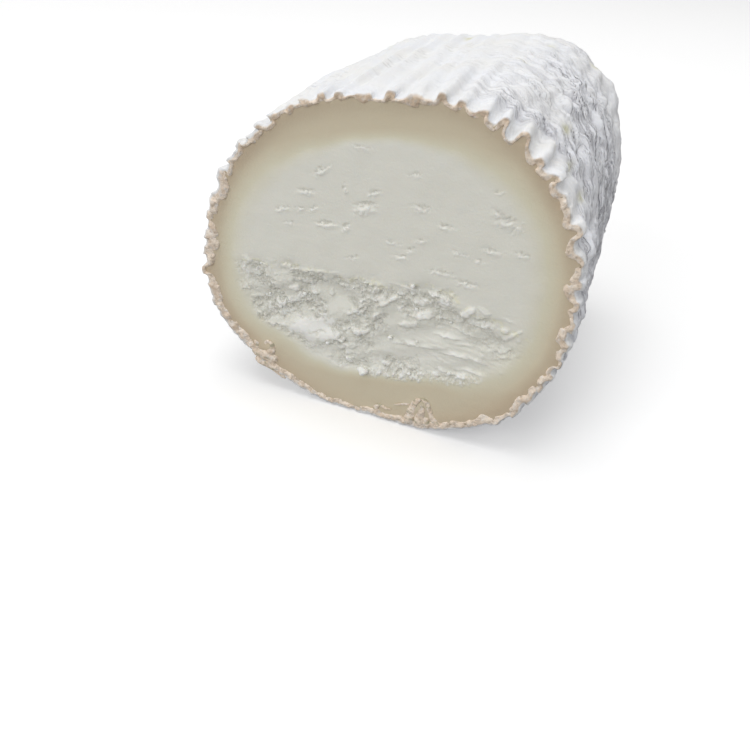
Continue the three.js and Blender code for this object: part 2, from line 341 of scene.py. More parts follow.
# Colours, as linear red, green and blue
BLOOM = (0.84, 0.85, 0.875)
BLOOM_WARM = (0.85, 0.845, 0.83)
# The cool tint of painted shade on the rind's shaded sides
BLOOM_SHADE_TINT = (0.86, 0.87, 0.91)
# Painted shade for the rind's crease valleys, nicks and fine creases
CREVICE_SHADE = (0.36, 0.35, 0.38)
OLIVE = (0.62, 0.6, 0.36)
OLIVE_DARK = (0.42, 0.4, 0.27)
LIP_CREAM = (0.97, 0.835, 0.7)
LIP_TAN = (0.7, 0.55, 0.41)
LIP_PIT = (0.55, 0.45, 0.34)
CORE = (0.84, 0.83, 0.75)
# Whiter paste, also used as painted highlight on raised places
CORE_WHITE_AND_HIGHLIGHT = (0.97, 0.965, 0.92)
CREAM_PALE = (0.77, 0.73, 0.57)
CREAM = (0.71, 0.635, 0.475)
CREAM_TAN = (0.575, 0.465, 0.33)
FLECK = (0.88, 0.85, 0.62)
# Painted shade for dent slits, cracks between crumbs and small gaps
PIT_SHADE = (0.46, 0.445, 0.37)
FLOOR_COLOUR = (0.96, 0.96, 0.96)

# The camera: its place from the log's own origin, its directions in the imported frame, and its lens
CAMERA_PLACE = (50.84, -134.79, 77.93)
CAMERA_RIGHT = (0.92691, 0.37226, 0.04753)
CAMERA_UP = (-0.25757, 0.53894, 0.80200)
CAMERA_BACK = (0.27293, -0.75563, 0.59543)
CAMERA_LENS = 32.64
CAMERA_SENSOR = 36
CAMERA_NEAREST = 0.005

# The studio: lights as name, place in metres and watts, and the strength of the sky
LIGHTS = [
    ("overhead", (-0.2, -0.1, 1.5), 8.4),
    ("front_left", (-0.7, -1.3, 0.8), 8.2),
    ("right", (0.9, 0.6, 1.4), 2.6),
]
LIGHT_SIZE = 1.0
SKY_BELOW = 0.34
SKY_ABOVE = 0.52
SKY_BAND = 0.6
FLOOR_REACH = 8.0
FLOOR_GLOW = 0.14


def smooth_step(start, end, value):
    share = np.clip((value - start) / (end - start), 0, 1)
    return share * share * (3 - 2 * share)


def bell(distance, spread):
    return np.exp(-((distance / spread) ** 2))


def angle_between(start, end):
    """The turn from one direction to another, between minus and plus half a turn."""
    return (end - start + math.pi) % TAU - math.pi


def towards(degrees, spread, angle):
    """1 in one direction, fading to both sides over a spread in degrees."""
    return bell(angle_between(math.radians(degrees), angle), math.radians(spread))


def side_of_log(degrees, full, none, angle):
    """1 within the full degrees of a direction, fading to 0 at the none degrees."""
    away = np.abs(angle_between(math.radians(degrees), angle))
    return smooth_step(math.radians(none), math.radians(full), away)


def curve_through(points, place):
    """A smooth curve through (place, value) points, by cubic pieces with their neighbours' slopes."""
    places, values = np.array(points, float).T
    index = np.arange(len(places))
    before = np.maximum(index - 1, 0)
    after = np.minimum(index + 1, len(places) - 1)
    slopes = (values[after] - values[before]) / (places[after] - places[before])
    left = np.clip(np.searchsorted(places, place) - 1, 0, len(places) - 2)
    span = places[left + 1] - places[left]
    share = (place - places[left]) / span
    rise = share * share * (3 - 2 * share)
    leaving = share * (1 - share) ** 2 * span * slopes[left]
    arriving = share * share * (share - 1) * span * slopes[left + 1]
    return values[left] + (values[left + 1] - values[left]) * rise + leaving + arriving


def noise_at(places, reach, seed=0, octaves=1):
    """Smooth noise about 0, mostly within 0.6 of it.

    The reach is the size of its features, or one size for each axis.
    """
    shift = np.array([17.3, 9.1, 5.7]) * seed
    scaled = places / np.asarray(reach, float) + shift
    return np.array([noise.fractal(place, 1.0, 2.1, octaves) for place in scaled.tolist()])


def grains_at(places, reach, seed=0):
    """Rounded grains: height from 0 in the cracks to 1 on a grain, and one random level a grain."""
    shift = np.array([3.7, 11.9, 7.3]) * seed
    scaled = places / np.asarray(reach, float) + shift
    heights, levels = [], []
    for place in scaled.tolist():
        distances, centres = noise.voronoi(place)
        heights.append(min(1.0, (distances[1] - distances[0]) * 1.6))
        levels.append(noise.cell(centres[0] * 7.0))
    return np.array(heights), np.array(levels)


def around_log(angle, y):
    """Places for noise on the skin, so that it closes on itself round the log."""
    return np.stack([MEAN_RADIUS * np.cos(angle), y, MEAN_RADIUS * np.sin(angle)], axis=-1)


def waves(table, angle, y):
    return sum(size * np.sin(cycles * angle + along * y + start) for cycles, along, start, size in table)


def round_curve(points, angle):
    """A smooth closed curve through (degrees, value) points."""
    closed = [(degrees + turn, value) for turn in (-360, 0, 360) for degrees, value in points]
    return curve_through(closed, np.degrees(angle) % 360)


def stray(angle, y):
    """How far the flutes stray from even spacing, in flutes."""
    total = waves(STRAY_WAVES, angle, y)
    for middle, spread, stretch in WIDE_FLUTES:
        away = angle_between(middle, angle) / spread
        total = total - stretch * away * bell(away, 1)
    return total


def angle_of_flute(flute, y):
    even = flute / FLUTES * TAU + TWIST_PER_MM * y
    angle = even
    for _ in range(ANGLE_ROUNDS):
        angle = even - stray(angle, y) / FLUTES * TAU
    return angle


def free_share(angle):
    """1 where the flutes stand free and 0 along the pressed underside."""
    middle = (PRESSED_FROM + PRESSED_TO) / 2
    half = (PRESSED_TO - PRESSED_FROM) / 2
    away = np.abs(angle_between(middle, angle))
    return smooth_step(half - PRESSED_FADE, half + PRESSED_FADE, away)


def crest_share(flute, angle, y):
    sharpness = 1 + waves(SHARPNESS_WAVES, angle, y)
    return (0.5 + 0.5 * np.cos(TAU * flute)) ** sharpness


def near_top(angle):
    return towards(94, 34, angle)


def ruffle_share(flute, angle, y):
    """The flutes' share of full height, with steep-sided rounded crests at the cut rim."""
    narrow = 0.14 * near_top(angle)
    level = 0.5 + 0.5 * np.cos(TAU * flute)
    at_rim = smooth_step(narrow - 0.08, 0.92 + narrow, level)
    at_rim = at_rim + (level - at_rim) * towards(42, 28, angle)
    along = crest_share(flute, angle, y)
    return along + (at_rim - along) * np.exp(-y / 4)


def flute_height(crest, angle, y):
    """Height of the fluted skin over the plain section."""
    uneven = 1 + waves(DEPTH_WAVES, angle, y)
    deeper = 1 + DEEP_FOLDS["extra"] * towards(DEEP_FOLDS["degrees"], DEEP_FOLDS["spread"], angle)
    along = DEPTH_ALONG + (1 - DEPTH_ALONG) * np.exp(-y / RIM_REACH)
    return FLUTE_DEPTH * uneven * deeper * along * free_share(angle) * (crest - CREST_MIDDLE)


def nicked(places):
    """Small nicks in patches, from 0 to 1."""
    patches = smooth_step(0.02, 0.3, noise_at(places, (9, 20, 9), seed=4))
    chipped = noise_at(places, (1.9, 0.8, 1.9), seed=5) + 0.35 * noise_at(places, 0.9, seed=20)
    return smooth_step(0.24, 0.55, chipped) * patches


def stained(angle, y):
    """The olive marks, from 0 to 1."""
    stain = np.zeros_like(y)
    for degrees, along, reach_round, reach_along in STAINS:
        aside = angle_between(math.radians(degrees), angle) * MEAN_RADIUS
        stain = np.maximum(stain, bell(aside, reach_round) * bell(y - along, reach_along))
    return stain


def rind_wear(angle, y):
    """Finer relief of the rind in mm, how far its flutes are worn, and its fields from 0 to 1, painted shade
    for its crease valleys and nicks among them.
    """
    places = around_log(angle, y)
    drift = noise_at(places, 16, seed=1)
    climb = MEAN_RADIUS * np.sin(angle - CREASE_TURN)
    leaning = 3.5 * drift + 1.4 * noise_at(places, 5, seed=9, octaves=2) - CREASE_SLANT * climb
    creased = places + leaning[:, None] * [0, 1, 0]

    right = side_of_log(-10, 64, 90, angle)
    left = side_of_log(186, 26, 52, angle)
    over_right = np.degrees(angle_between(0, angle))
    low = smooth_step(38, 22, over_right)
    behind_lobes = np.maximum(smooth_step(4, 13, y), low)
    upper = smooth_step(12, 42, over_right)
    plain = upper * smooth_step(0.2, -0.15, noise_at(places, 13, seed=19))
    rear = smooth_step(LENGTH - 44, LENGTH - 26, y)
    brushed = np.clip(right * (0.05 + 0.95 * behind_lobes) + 0.25 * left, 0, 1) * smooth_step(0.5, 4, y)
    brushed = brushed * (1 - 0.2 * upper - 0.45 * plain) * (1 - 0.45 * rear)

    clusters = smooth_step(-0.2, 0.25, noise_at(creased, (13, 5, 13), seed=18, octaves=2))
    broad = np.minimum(np.abs(noise_at(creased, (26, 4.6, 26), seed=2, octaves=2)), 0.4)
    fine = np.minimum(np.abs(noise_at(creased, (11, 2.4, 11), seed=3, octaves=2)), 0.4)
    deep = 2.2 + 1.4 * towards(16, 30, angle)
    creases = deep * (broad - 0.17) + 0.8 * clusters * (fine - 0.17)

    nicks = nicked(places) * (1 - brushed) * free_share(angle) * smooth_step(2, 5, y)
    swell = 0.5 * noise_at(places, 13, seed=6)
    swell = swell + (0.22 + right * upper) * noise_at(places, 5, seed=7, octaves=2)
    grain = 0.07 * noise_at(places, 1.3, seed=8, octaves=2)

    scale, level = grains_at(creased, (7, 2.9, 7), seed=3)
    scales = smooth_step(0, 0.45, scale) * (0.5 + 0.5 * level)
    scaly = right * behind_lobes * (0.5 + 0.7 * upper) * (1 - 0.5 * rear)

    relief = brushed * creases + scaly * scales - 0.4 * nicks + swell + grain
    worn = np.maximum(right * smooth_step(4, 14, y), 0.7 * smooth_step(LENGTH - 28, LENGTH - 10, y))
    worn = worn * (1 - 0.5 * right * rear * smooth_step(LENGTH - 9, LENGTH - 20, y))
    corner = towards(58, 24, angle) * smooth_step(16, 44, y)
    worn = np.maximum(worn, 1.1 * corner)
    # Painted shade in the valleys of the brushed creases and in the nicks
    crevice_shade_and_streaks = np.clip(0.7 * brushed * smooth_step(0.11, 0, broad) + 0.5 * nicks, 0, 1)
    stain = np.maximum(stained(angle, y), 0.5 * nicks * smooth_step(-0.1, 0.4, drift))
    fields = {"crevice_shade_and_streaks": crevice_shade_and_streaks, "stain": stain, "brushed": brushed, "hair": brushed * clusters}
    return relief, worn, fields


def skin(flute, y, inset, fade, outside):
    """Points of the rind's skin and their fields.

    The inset narrows the section, the fade lowers the flutes, and outside is 1 on the outer skin.
    """
    angle = angle_of_flute(flute, y)
    places = around_log(angle, y)
    free = free_share(angle)
    uneven = noise_at(places, (4.2, 14, 4.2), seed=11) * np.exp(-y / 18)
    crest = ruffle_share(flute, angle, y)
    ruffle = RUFFLE_BEHIND + (round_curve(RUFFLE_AROUND, angle) - RUFFLE_BEHIND) * np.exp(-y / RUFFLE_REACH)
    flutes = flute_height(crest, angle, y) * (ruffle + 0.75 * uneven)
    low = LOW_RIM["drop"] * towards(LOW_RIM["degrees"], LOW_RIM["spread"], angle) * np.exp(-y / 10)
    lips = 0.42 * noise_at(places, (1.7, 5, 1.7), seed=12, octaves=2) * np.exp(-y / 3) * (0.4 + 0.6 * free)
    relief, worn, fields = rind_wear(angle, y)

    fuller = BODY_FULLNESS - CORNER_FULLNESS * np.cos(4 * angle)
    belly = fuller * smooth_step(0, FULL_FROM, y)
    raised = flutes * (1 - 0.85 * worn * outside) + waves(SWELL_WAVES, angle, y) * free + lips
    radius = round_curve(SECTION, angle) - low + belly - inset + raised * fade
    radius = radius + relief * outside * (0.35 + 0.65 * free) * (0.25 + 0.75 * fade)

    lean = LEAN * noise_at(places, (7, 16, 7), seed=13) * (crest - CREST_MIDDLE) * np.exp(-y / 12)
    curl = CURL * (1 + uneven) * np.sin(2 * TAU * flute) * np.exp(-y / 4)
    turned = angle + (lean + curl) * free * fade / radius

    crust = 0.5 * np.abs(noise_at(places, (3, 2, 3), seed=14, octaves=3))
    z = np.maximum(-AXIS_HEIGHT + inset + crust * outside, radius * np.sin(turned))
    points = np.stack([radius * np.cos(turned), y, z], axis=-1)
    return points, {name: values * outside for name, values in fields.items()}


def unit(ways):
    return ways / np.linalg.norm(ways, axis=-1, keepdims=True)


def cut_rim():
    """The rim's outer edge, the way inward over the cut, and the rind's thickness there.

    Inward is half towards the axis and half square to the edge, so that the cut rind stays a
    ribbon round each ruffle.
    """
    flute = ring_of(RIM_COLUMNS)
    none = np.zeros_like(flute)
    edge, _ = skin(flute, none + LIP_HEIGHT, none, none + 1, none + 1)
    along = np.roll(edge, -3, axis=0) - np.roll(edge, 3, axis=0)
    square = unit(np.stack([-along[:, 2], none, along[:, 0]], axis=-1))
    inward = unit(square - unit(edge * [1, 0, 1]))
    angle = np.arctan2(edge[:, 2], edge[:, 0])
    uneven = noise_at(around_log(angle, none), 4.6, seed=15, octaves=2)
    unsteady = 0.4 + 0.45 * free_share(angle)
    filled = ARCH_FILL * near_top(angle) * ruffle_share(flute, angle, none)
    return edge, inward, round_curve(LIP_AROUND, angle) * (1 + unsteady * uneven) + filled


def lip_points():
    """Points and fields of the cut rind, in rings from its inner edge to just short of its outer one."""
    edge, inward, thickness = cut_rim()
    flute = ring_of(RIM_COLUMNS)
    points, shares = [], []
    for step in range(LIP_RINGS):
        turned = math.pi * step / LIP_RINGS
        inside = 0.5 + 0.5 * math.cos(turned)
        ring = edge + inward * (inside * thickness)[:, None]
        raised = math.sin(turned) ** 0.5
        knobs = 0.6 * noise_at(ring, 1.6, seed=16, octaves=3)
        ring[:, 1] = LIP_HEIGHT * (1 - raised) - knobs * raised
        points.append(ring)
        shares.append(np.full(RIM_COLUMNS, inside))
    points = np.concatenate(points)
    angle = np.arctan2(points[:, 2], points[:, 0])
    crest = np.tile(ruffle_share(flute, angle[:RIM_COLUMNS], 0 * flute), LIP_RINGS)
    tan = round_curve(TAN_AROUND, angle) + 0.7 * noise_at(points, 2.2, seed=17, octaves=2)
    inside = np.concatenate(shares)
    tan = (tan + near_top(angle) * (1.3 * crest - 0.4)) * smooth_step(1.05, 0.85, inside)
    white = 0.04
    for degrees, spread, share in WHITE_EDGES:
        white = white + share * towards(degrees, spread, angle)
    cut = smooth_step(white, white + 0.18, inside)
    return points, {"cut": cut, "tan": np.clip(tan, 0, 1)}


def paste_reach(angle):
    """Distance from the axis to the paste's rim, which lies under the middle of the cut rind."""
    edge, inward, thickness = cut_rim()
    middle = edge + inward * (0.5 * thickness)[:, None]
    turn = np.unwrap(np.arctan2(middle[:, 2], middle[:, 0]))
    closed_turn = np.append(turn, turn[0] + TAU)
    radius = np.hypot(middle[:, 0], middle[:, 2])
    place = np.linspace(0, len(turn), REACH_STEPS * 24)
    index = np.arange(len(turn) + 1)
    fine_turn = np.interp(place, index, closed_turn) % TAU
    fine_radius = np.interp(place, index, np.append(radius, radius[0]))
    reach = np.zeros(REACH_STEPS)
    np.maximum.at(reach, (fine_turn / TAU * REACH_STEPS).astype(int) % REACH_STEPS, fine_radius)
    return np.interp(angle, (np.arange(REACH_STEPS) + 0.5) / REACH_STEPS * TAU, reach, period=TAU)


def cap(flute, share):
    """Points of the plain end, from its middle at share 0 to the shoulder's edge at 1."""
    none = np.zeros_like(flute)
    edge, _ = skin(flute, none + LENGTH - DOME, none + SHOULDER_RADIUS, none, none)
    points = edge * share[:, None]
    points[:, 1] = LENGTH - DOME * share * share
    return points


def ring_of(columns):
    """Flute counts of a ring of points, half a step off the crests."""
    return (np.arange(columns) + 0.5) / columns * FLUTES


def stitch(before, after):
    """Triangles between neighbouring rings, each a first index and a number of points."""
    triangles = []
    i = j = 0
    first, count = before
    other, other_count = after
    while i < count or j < other_count:
        a = first + i % count
        b = other + j % other_count
        turn_before = (i + 1.5) / count
        turn_after = (j + 1.5) / other_count
        if j == other_count or (i < count and turn_before <= turn_after):
            i += 1
            triangles.append((first + i % count, a, b))
        else:
            j += 1
            triangles.append((a, b, other + j % other_count))
    return triangles


def closed_skin(rings):
    """Triangles of a closed surface: a first point, rings of these numbers of points, a last point."""
    starts = np.cumsum([1, *rings])
    spans = list(zip(starts[:-1].tolist(), rings))
    last = int(starts[-1])
    first, count = spans[0]
    triangles = [(0, first + i, first + (i + 1) % count) for i in range(count)]
    for before, after in zip(spans[:-1], spans[1:]):
        triangles.extend(stitch(before, after))
    first, count = spans[-1]
    triangles.extend((last, first + (i + 1) % count, first + i) for i in range(count))
    return triangles


def make_piece(name, points, triangles, fields, material):
    """A smooth piece of the log from points in mm in the log's own frame."""
    mesh = bpy.data.meshes.new(name)
    mesh.from_pydata(((points + ORIGIN) * MILLIMETRE).tolist(), [], triangles)
    for field, values in fields.items():
        attribute = mesh.attributes.new(field, "FLOAT", "POINT")
        attribute.data.foreach_set("value", np.asarray(values, np.float32))
    mesh.materials.append(material)
    mesh.shade_smooth()
    piece = bpy.data.objects.new(name, mesh)
    bpy.context.scene.collection.objects.link(piece)
    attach(piece, BODY)
    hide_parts(NODE)
    return piece


def inner_rings(inset, fade, front):
    """Rings on the inside of the rind, from the whole end forwards: columns, y, inset and fade."""
    rings = []
    for bend in INNER_BENDS:
        turned = math.radians(bend)
        bent = SHOULDER_RADIUS - inset
        y = SHOULDER_START + bent * math.sin(turned)
        rings.append((INNER_COLUMNS, y, inset + bent * (1 - math.cos(turned)), 0))
    for y in np.linspace(SHOULDER_START, INNER_END, INNER_RINGS):
        rings.append((INNER_COLUMNS, y, inset, fade))
    rings.append((SHOULDER_COLUMNS, front, inset, fade))
    return rings


def outer_rings():
    """Rings on the outside of the rind, from the cut rim to the whole end: columns, y, inset and fade."""
    rings = []
    for y in np.arange(LIP_HEIGHT, RIM_BAND, RIM_SPACING):
        rings.append((RIM_COLUMNS, y, 0, 1))
    count = round((SHOULDER_START - RIM_BAND) / SIDE_SPACING)
    for y in np.linspace(RIM_BAND, SHOULDER_START, count, endpoint=False):
        rings.append((SIDE_COLUMNS, y, 0, 1))
    for step in range(SHOULDER_RINGS + 1):
        turned = math.pi / 2 * step / SHOULDER_RINGS
        y = SHOULDER_START + SHOULDER_RADIUS * math.sin(turned)
        rings.append((SHOULDER_COLUMNS, y, SHOULDER_RADIUS * (1 - math.cos(turned)), math.cos(turned)))
    return rings


def skin_of(rings, outside):
    """Points and fields of rings of skin, and the rings' numbers of points."""
    counts = [columns for columns, *_ in rings]
    flute = np.concatenate([ring_of(columns) for columns in counts])
    y, inset, fade = (np.repeat(values, counts) for values in np.array(rings, float)[:, 1:].T)
    points, fields = skin(flute, y, inset, fade, np.full_like(flute, outside))
    return points, fields, counts


def build_rind(material):
    inner, _, inner_counts = skin_of(inner_rings(RIND_THICKNESS, INNER_FADE, RIND_FRONT), 0)
    lip, lip_fields = lip_points()
    outer, outer_fields, outer_counts = skin_of(outer_rings(), 1)

    end_shares = np.arange(1, 0, -CAP_SPACING / CAP_RADIUS)[1:]
    end_counts = [max(12, round(SHOULDER_COLUMNS * 0.75 * share)) for share in end_shares]
    end_flute = np.concatenate([ring_of(columns) for columns in end_counts])
    end_share = np.repeat(end_shares, end_counts)
    end = cap(end_flute, end_share)
    wrinkle = 0.5 * noise_at(end, 7, seed=21)
    wrinkle = wrinkle + 0.3 * np.abs(noise_at(end, (3.5, 3.5, 1.6), seed=22, octaves=3))
    end[:, 1] -= np.abs(wrinkle) * smooth_step(1, 0.9, end_share)

    first = [[0.0, LENGTH - DOME - RIND_THICKNESS, 0.0]]
    last = [[0.0, LENGTH, 0.0]]
    points = np.concatenate([first, inner, lip, outer, end, last])
    fields = {}
    for name in RIND_FIELDS:
        on_lip = lip_fields.get(name, np.zeros(len(lip)))
        on_outer = outer_fields.get(name, np.zeros(len(outer)))
        fields[name] = np.concatenate([np.zeros(1 + len(inner)), on_lip, on_outer, np.zeros(len(end) + 1)])
    counts = inner_counts + [RIM_COLUMNS] * LIP_RINGS + outer_counts + end_counts
    return make_piece("log_rind", points, closed_skin(counts), fields, material)


def slanted(x, z, place_x, place_z, slant):
    """Distances from a place along and across a slanted direction."""
    turned = math.radians(slant)
    along = (x - place_x) * math.cos(turned) + (z - place_z) * math.sin(turned)
    across = (z - place_z) * math.cos(turned) - (x - place_x) * math.sin(turned)
    return along, across


def rows_along(table, x, z):
    """For each row of a table: distances along and across its slant, its two sizes and its value."""
    for place_x, place_z, length, width, slant, value in table:
        yield *slanted(x, z, place_x, place_z, slant), length, width, value


def humps(table, x, z):
    return sum(
        height * bell(x - place_x, reach_x) * bell(z - place_z, reach_z)
        for place_x, place_z, reach_x, reach_z, height in table
    )


def dents(x, z, ragged):
    """Small dents: their relief, and how far a place is a slit or the raised lip under it, for the painted
    shade in the slits and the painted highlight on the lips.
    """
    relief = np.zeros_like(x)
    slits = np.zeros_like(x)
    lips = np.zeros_like(x)
    for along, across, length, width, depth in rows_along(DENTS, x, z):
        across = across + ragged
        ends = bell(along + 2 * ragged, length / 2)
        lip = bell(across + 0.45 * width, 0.65 * width) * ends
        slit = bell(across - 0.35 * width, 0.35 * width) * ends
        relief += depth * (0.7 * lip - 0.8 * slit)
        slits = np.maximum(slits, slit)
        lips = np.maximum(lips, lip)
    return relief, slits, lips


def strokes(x, z, ragged):
    """Strokes of a knife, each a slope that faces upwards over a sharp step."""
    total = np.zeros_like(x)
    for along, across, length, width, height in rows_along(STROKES, x, z):
        level = (across + ragged) / width
        slope = smooth_step(1.1, -0.5, level) * smooth_step(-1.1, -0.6, level)
        total = np.maximum(total, height * slope * bell(along + ragged, 0.6 * length))
    return total


def lumps(x, z, edge):
    """Blocky lumps with steep sides."""
    total = np.zeros_like(x)
    for along, across, length, width, height in rows_along(LUMPS, x, z):
        away = np.hypot(along / length, across / width) + edge
        total = np.maximum(total, height * smooth_step(1.15, 0.65, away))
    return total


def smeared(x, z, edge):
    """How far a place is smeared smooth, and how white it is there."""
    smooth = np.zeros_like(x)
    white = np.zeros_like(x)
    for along, across, length, width, whiteness in rows_along(SMEARS, x, z):
        away = np.hypot(along / length, across / width) + edge
        share = smooth_step(1.3, 0.7, away)
        smooth = np.maximum(smooth, share)
        white = np.maximum(white, share * whiteness)
    return smooth, white


def face_places(x, z):
    """Places on the cut face, and how they lie to its pale middle and its torn part."""
    face = SimpleNamespace(x=x, z=z, places=np.stack([x, 0 * x, z], axis=-1))
    face.wander = noise_at(face.places, 7, seed=31, octaves=2)
    face.small = noise_at(face.places, 1.6, seed=32, octaves=3)
    face.angle = np.arctan2(z - CORE_Z, x - CORE_X)
    face.outward = np.hypot(x - CORE_X, z - CORE_Z) / round_curve(CORE_AROUND, face.angle)
    face.in_core = smooth_step(1.03, 0.95, face.outward + 0.012 * face.wander)
    face.over_tear = z - (curve_through(TEAR_LINE, x) + 1.6 * face.wander + 0.7 * face.small)
    short = TEAR_SHORT["share"] * towards(TEAR_SHORT["degrees"], TEAR_SHORT["spread"], face.angle)
    within = smooth_step(1.02, 0.93, face.outward + short + 0.04 * face.wander + 0.03 * face.small)
    face.torn = within * smooth_step(1.4, -1.8, face.over_tear)
    return face


def crumbled(face):
    """Crumbs of two sizes, as a height about 0."""
    leaning = np.stack([1.3 * face.wander + 0.6 * face.small, 0 * face.x, 1.0 * face.small], axis=-1)
    large, level = grains_at(face.places + leaning, (2.2, 3, 1.4), seed=1)
    fine, fine_level = grains_at(face.places + leaning, (1.0, 1, 0.75), seed=2)
    height = 0.35 * (large - 0.5) + 0.8 * (level - 0.5) + 0.3 * (fine - 0.5) + 0.3 * (fine_level - 0.5)
    return height + 0.5 * face.small


def torn_part(face, depth):
    """The depth with the crumbs, streaks, lumps and strokes of the torn part, and its fields, with painted
    shade in its cracks and partly painted highlight in its whiteness.
    """
    smear, smear_white = smeared(face.x, face.z, 0.9 * face.small + 0.4 * face.wander)
    along, across = slanted(face.x, face.z, STREAKS["x"], STREAKS["z"], STREAKS["slant"])
    streaked = bell(along, STREAKS["length"]) * bell(across, STREAKS["width"])
    patches = smooth_step(-0.25, 0.2, noise_at(face.places, 4.5, seed=37, octaves=2))
    crumbly = face.torn * (1 - 0.94 * smear) * (0.3 + 0.7 * patches) * (1 - 0.85 * streaked)
    crumble = crumbled(face)
    brushing = np.stack([along / 5, 0 * face.x, (across + 0.6 * face.wander) / 0.8], axis=-1)
    brushed = noise_at(brushing, 1, seed=33, octaves=2)
    depth = depth - 0.42 * crumbly * crumble - 0.16 * face.torn * streaked * brushed

    near_tear = np.maximum(face.torn, smooth_step(3, 0, face.over_tear) * face.in_core)
    block = lumps(face.x, face.z, 0.6 * face.small + 0.2 * face.wander) * near_tear
    stroke = strokes(face.x, face.z, 0.4 * face.small) * near_tear
    depth = depth - 0.75 * block - 1.2 * stroke
    # Painted shade in the low places between crumbs
    cracks = crumbly * smooth_step(-0.3, -0.7, crumble)
    # Whiter on high crumbs, lumps, strokes and smears: partly whiter paste, partly painted highlight
    white = crumbly * (0.4 + 1.3 * crumble) + face.torn * smear_white + 1.2 * block + 1.6 * stroke
    return depth, crumbly, cracks, white


def scuffed_foot(face):
    """Scuffs along the foot of the torn part: where they are, and how high."""
    fringe = smooth_step(0.9, 0.97, face.outward)
    fringe = fringe * smooth_step(1.05, 1.0, face.outward + 0.04 * face.small)
    fringe = fringe * smooth_step(-16, -23, face.z)
    fringe = fringe * smooth_step(-3, 4, face.x) * smooth_step(32, 26, face.x)
    return fringe, np.maximum(0, noise_at(face.places, (1.0, 1, 1.6), seed=34, octaves=2) + 0.1)


def face_relief(x, z):
    """Depth of the cut face in mm below the rim, and the fields of its colours, painted shade and painted
    highlight among them.
    """
    face = face_places(x, z)
    fringe, scuffs = scuffed_foot(face)
    sunk = smooth_step(1.03, 0.85, face.outward) * smooth_step(3, -6, face.over_tear)
    ripple = sum(size * np.sin(across * x + up * z + start) for across, up, start, size in RIPPLES)
    smooth = BORDER_DEPTH + (CORE_DEPTH - BORDER_DEPTH) * face.in_core - humps(RIND_FOLDS, x, z)
    depth = smooth + sunk * TEAR_SHARE * (TEAR_DEPTH + ripple - humps(CRAGS, x, z))
    depth, crumbly, cracks, white = torn_part(face, depth)
    depth = depth - 0.5 * fringe * scuffs

    calm = face.in_core * (1 - face.torn)
    border = 1 - face.in_core
    relief, slits, lips = dents(x, z, 0.75 * noise_at(face.places, 0.9, seed=38, octaves=2))
    depth = depth - calm * (relief + 0.02 * noise_at(face.places, (5, 1, 1.4), seed=35, octaves=2))
    depth = depth + 0.12 * face.wander * face.in_core
    depth = depth - border * 0.03 * noise_at(face.places, (9, 1, 3), seed=36, octaves=2)

    angle = np.arctan2(z, x)
    plain_edge = round_curve(SECTION, angle) - round_curve(LIP_AROUND, angle)
    from_rind = np.maximum(0, plain_edge - np.hypot(x, z))
    depth = np.maximum(0.05, depth - 0.35 * bell(from_rind, 2.2) * border)

    near_edge = smooth_step(1.1, 0.2, np.abs(face.over_tear + 0.4))
    flecks = near_edge * face.in_core * smooth_step(-0.05, 0.3, face.small)
    blend = 0.05 + 0.11 * np.cos(face.angle) ** 2
    ripe = 0.7 * smooth_step(1 - blend, 1 + 1.6 * blend, face.outward + 0.02 * face.wander)
    ripe = ripe + (0.1 + 0.22 * np.abs(np.cos(angle))) * bell(from_rind, 3.4)
    # Painted highlight on the lips under the dents, and whiter scuffs that are partly painted highlight
    white = white + 2 * fringe * scuffs + 0.6 * calm * lips
    fields = {
        "ripe": np.clip(ripe, 0, 1),
        "raised": np.clip(white, 0, 1),
        "rough": np.clip(crumbly + fringe, 0, 1),
        "fleck": flecks,
        # Painted shade in the dents' upper slits and in the cracks between crumbs
        "pit_shade": np.clip(0.5 * calm * slits + 0.5 * cracks, 0, 1),
    }
    return depth, fields


def fold_points(fold):
    """Points of one fold: a lumpy band with round edges that lies along its curve."""
    places = np.linspace(0, len(fold) - 1, (len(fold) - 1) * FOLD_STEPS + 1)[1:-1]
    x, z, width = (curve_through(list(enumerate(values)), places) for values in zip(*fold))
    middle = np.stack([x, np.full_like(x, FOLD_DEPTH), z], axis=-1)
    along = unit(np.gradient(middle, axis=0))
    aside = np.stack([-along[:, 2], 0 * x, along[:, 0]], axis=-1)
    turned = np.arange(FOLD_SIDES) / FOLD_SIDES * TAU
    round_ends = np.sqrt(np.minimum(1, np.minimum(places, places[-1] + places[0] - places) / 0.5))
    reach = (width * round_ends)[:, None, None]
    sideways = reach * np.cos(turned)[None, :, None] * aside[:, None, :]
    inward = reach * np.sin(turned)[None, :, None] * np.array([0, FOLD_HEIGHT, 0])
    rings = (middle[:, None, :] + sideways + inward).reshape(-1, 3)
    lumpy = 0.35 * noise_at(rings, 1.3, seed=41, octaves=3)[:, None]
    swelling = unit(rings - np.repeat(middle, FOLD_SIDES, axis=0))
    rings = rings + lumpy * [0, 1, 0] + 0.4 * lumpy * swelling
    return np.concatenate([middle[:1], rings, middle[-1:]]), [FOLD_SIDES] * len(places)


def crumb_points(place, reach, seed):
    """Points of one crumb: a chipped lump."""
    levels = -np.cos(np.linspace(0, math.pi, CRUMB_SIDES // 2 + 2)[1:-1])
    turned = np.arange(CRUMB_SIDES) / CRUMB_SIDES * TAU
    rings = []
    for level in levels:
        spread = math.sqrt(1 - level**2)
        ring = [spread * np.cos(turned), np.full(CRUMB_SIDES, level), spread * np.sin(turned)]
        rings.append(np.stack(ring, axis=-1))
    points = np.concatenate([[[0, -1, 0]], *rings, [[0, 1, 0]]])
    chipped = 1 + 0.55 * noise_at(points, 0.9, seed=seed, octaves=2)
    shape = points * chipped[:, None] * CRUMB_SHAPE
    return place + reach * shape, [CRUMB_SIDES] * len(levels)


